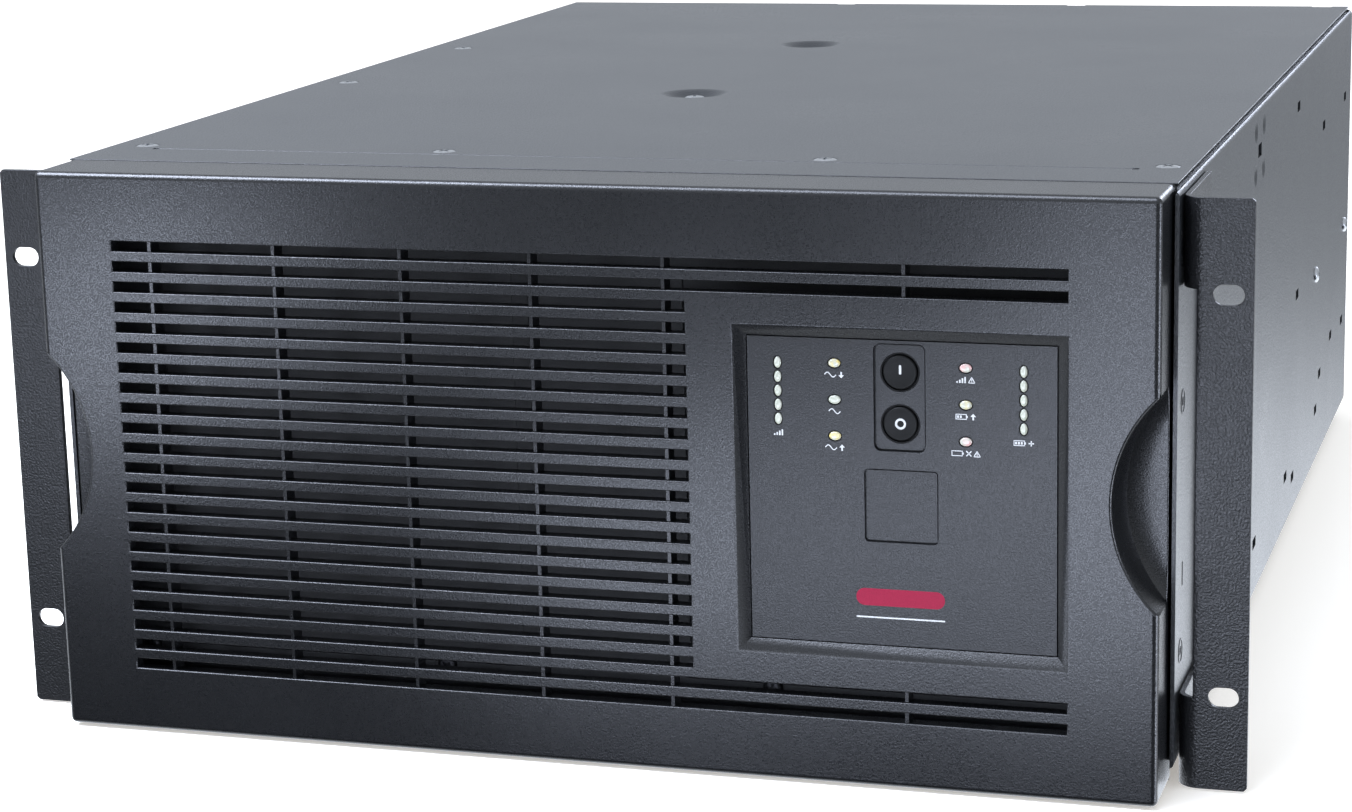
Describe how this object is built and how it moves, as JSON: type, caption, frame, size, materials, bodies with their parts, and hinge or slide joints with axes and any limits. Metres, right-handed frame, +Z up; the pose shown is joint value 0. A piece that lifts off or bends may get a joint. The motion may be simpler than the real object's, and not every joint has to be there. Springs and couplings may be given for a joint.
{
  "type": "rackmount ups",
  "caption": "Five-unit rack-mount uninterruptible power supply with a louvred clip-on bezel, square display insert, rack ears, slide-out battery modules and rear outlets.",
  "frame": {"origin": "on the resting surface, under the centre of the unit's box", "axes": "+Z up, front facing -Y, +X to the right seen from the front"},
  "size_m": [0.4826, 0.66, 0.2193],
  "materials": {
    "bezel_plastic": "charcoal moulded plastic with a fine grain",
    "panel_plastic": "charcoal moulded plastic with a fine grain",
    "button_rubber": "black satin moulded caps",
    "light_lens": "milky translucent light pipes",
    "ear_powder": "black fine-texture powder coat",
    "case_paint": "blue-grey satin paint",
    "inner_steel": "zinc-plated sheet",
    "foot_rubber": "black moulded rubber",
    "circuit_board": "green solder mask",
    "black_plastic": "black moulded plastic",
    "heat_sink_aluminium": "extruded, natural",
    "core_steel": "varnished steel laminations",
    "winding_tape": "taped copper winding",
    "bright_steel": "bright plated steel",
    "brass_stud": "plain brass",
    "battery_case": "dark grey battery cases",
    "strap_webbing": "black woven strap",
    "connector_grey": "grey moulded plastic"
  },
  "bodies": {
    "chassis": {"rack_ear_left": "ear_powder", "rack_ear_right": "ear_powder", "base_pan": "case_paint", "top_cover": "case_paint", "front_frame": "case_paint", "rear_panel": "case_paint", "input_terminal_cover": "case_paint", "bulkhead": "inner_steel", "bay_divider": "inner_steel", "foot_front_left": "foot_rubber", "foot_front_right": "foot_rubber", "foot_rear_left": "foot_rubber", "foot_rear_right": "foot_rubber", "main_board": "circuit_board", "capacitor_front": "black_plastic", "capacitor_middle": "black_plastic", "capacitor_rear": "black_plastic", "fan_frame_left": "black_plastic", "fan_frame_right": "black_plastic", "outlet_bank_upper": "black_plastic", "outlet_bank_lower": "black_plastic", "outlet_large_upper": "black_plastic", "outlet_large_lower": "black_plastic", "breaker_upper": "black_plastic", "breaker_lower": "black_plastic", "cable_gland": "black_plastic", "heat_sink_left": "heat_sink_aluminium", "heat_sink_right": "heat_sink_aluminium", "transformer_core": "core_steel", "transformer_coil": "winding_tape", "fan_guard_left": "bright_steel", "fan_guard_right": "bright_steel", "accessory_slot_cover": "bright_steel", "serial_port": "bright_steel", "ground_stud": "brass_stud", "bay_connector_left": "connector_grey", "bay_connector_right": "connector_grey", "expansion_battery_connector": "connector_grey"},
    "bezel": {"bezel": "bezel_plastic"},
    "display": {"display_panel": "panel_plastic", "display_board": "circuit_board", "test_switch": "black_plastic", "off_switch": "black_plastic", "light_pipe_load": "light_lens", "light_pipe_charge": "light_lens", "light_pipe_status_left": "light_lens", "light_pipe_status_right": "light_lens"},
    "test_button": {"test_button": "button_rubber"},
    "off_button": {"off_button": "button_rubber"},
    "battery_door": {"battery_door": "case_paint"},
    "battery_left": {"battery_tray_left": "inner_steel", "battery_pack_left": "battery_case", "battery_strap_left": "strap_webbing"},
    "battery_right": {"battery_tray_right": "inner_steel", "battery_pack_right": "battery_case", "battery_strap_right": "strap_webbing"},
    "fan_left": {"fan_rotor_left": "black_plastic"},
    "fan_right": {"fan_rotor_right": "black_plastic"},
    "breaker_button_upper": {"breaker_button_upper": "connector_grey"},
    "breaker_button_lower": {"breaker_button_lower": "connector_grey"}
  },
  "joints": [
    {"name": "battery_left_slide", "type": "slide", "parent": "chassis", "child": "battery_left", "axis": [0, -1, 0], "range_m": [0, 0.335]},
    {"name": "battery_right_slide", "type": "slide", "parent": "chassis", "child": "battery_right", "axis": [0, -1, 0], "range_m": [0, 0.335]},
    {"name": "battery_door_lift_off", "type": "slide", "parent": "chassis", "child": "battery_door", "axis": [0, -1, 0], "range_m": [0, 0.42]},
    {"name": "bezel_pull_off", "type": "slide", "parent": "chassis", "child": "bezel", "axis": [0, -1, 0], "range_m": [0, 0.504]},
    {"name": "display_pull_out", "type": "slide", "parent": "bezel", "child": "display", "axis": [0, -1, 0], "range_m": [0, 0.04]},
    {"name": "test_button_press", "type": "slide", "parent": "display", "child": "test_button", "axis": [0, 1, 0], "range_m": [0, 0.0015], "stiffness_N_per_m": 900},
    {"name": "off_button_press", "type": "slide", "parent": "display", "child": "off_button", "axis": [0, 1, 0], "range_m": [0, 0.0015], "stiffness_N_per_m": 900},
    {"name": "fan_left_spin", "type": "hinge", "parent": "chassis", "child": "fan_left", "pos_m": [-0.16, 0.2918, 0.165], "axis": [0, 1, 0], "continuous": true},
    {"name": "fan_right_spin", "type": "hinge", "parent": "chassis", "child": "fan_right", "pos_m": [-0.07, 0.2918, 0.165], "axis": [0, 1, 0], "continuous": true},
    {"name": "breaker_upper_trip", "type": "slide", "parent": "chassis", "child": "breaker_button_upper", "axis": [0, 1, 0], "range_m": [0, 0.005]},
    {"name": "breaker_lower_trip", "type": "slide", "parent": "chassis", "child": "breaker_button_lower", "axis": [0, 1, 0], "range_m": [0, 0.005]}
  ],
  "couplings": [
    {"joint": "battery_right_slide", "follows": "battery_left_slide", "ratio": 1},
    {"joint": "battery_door_lift_off", "follows": "battery_left_slide", "ratio": 1.25},
    {"joint": "bezel_pull_off", "follows": "battery_left_slide", "ratio": 1.5}
  ]
}
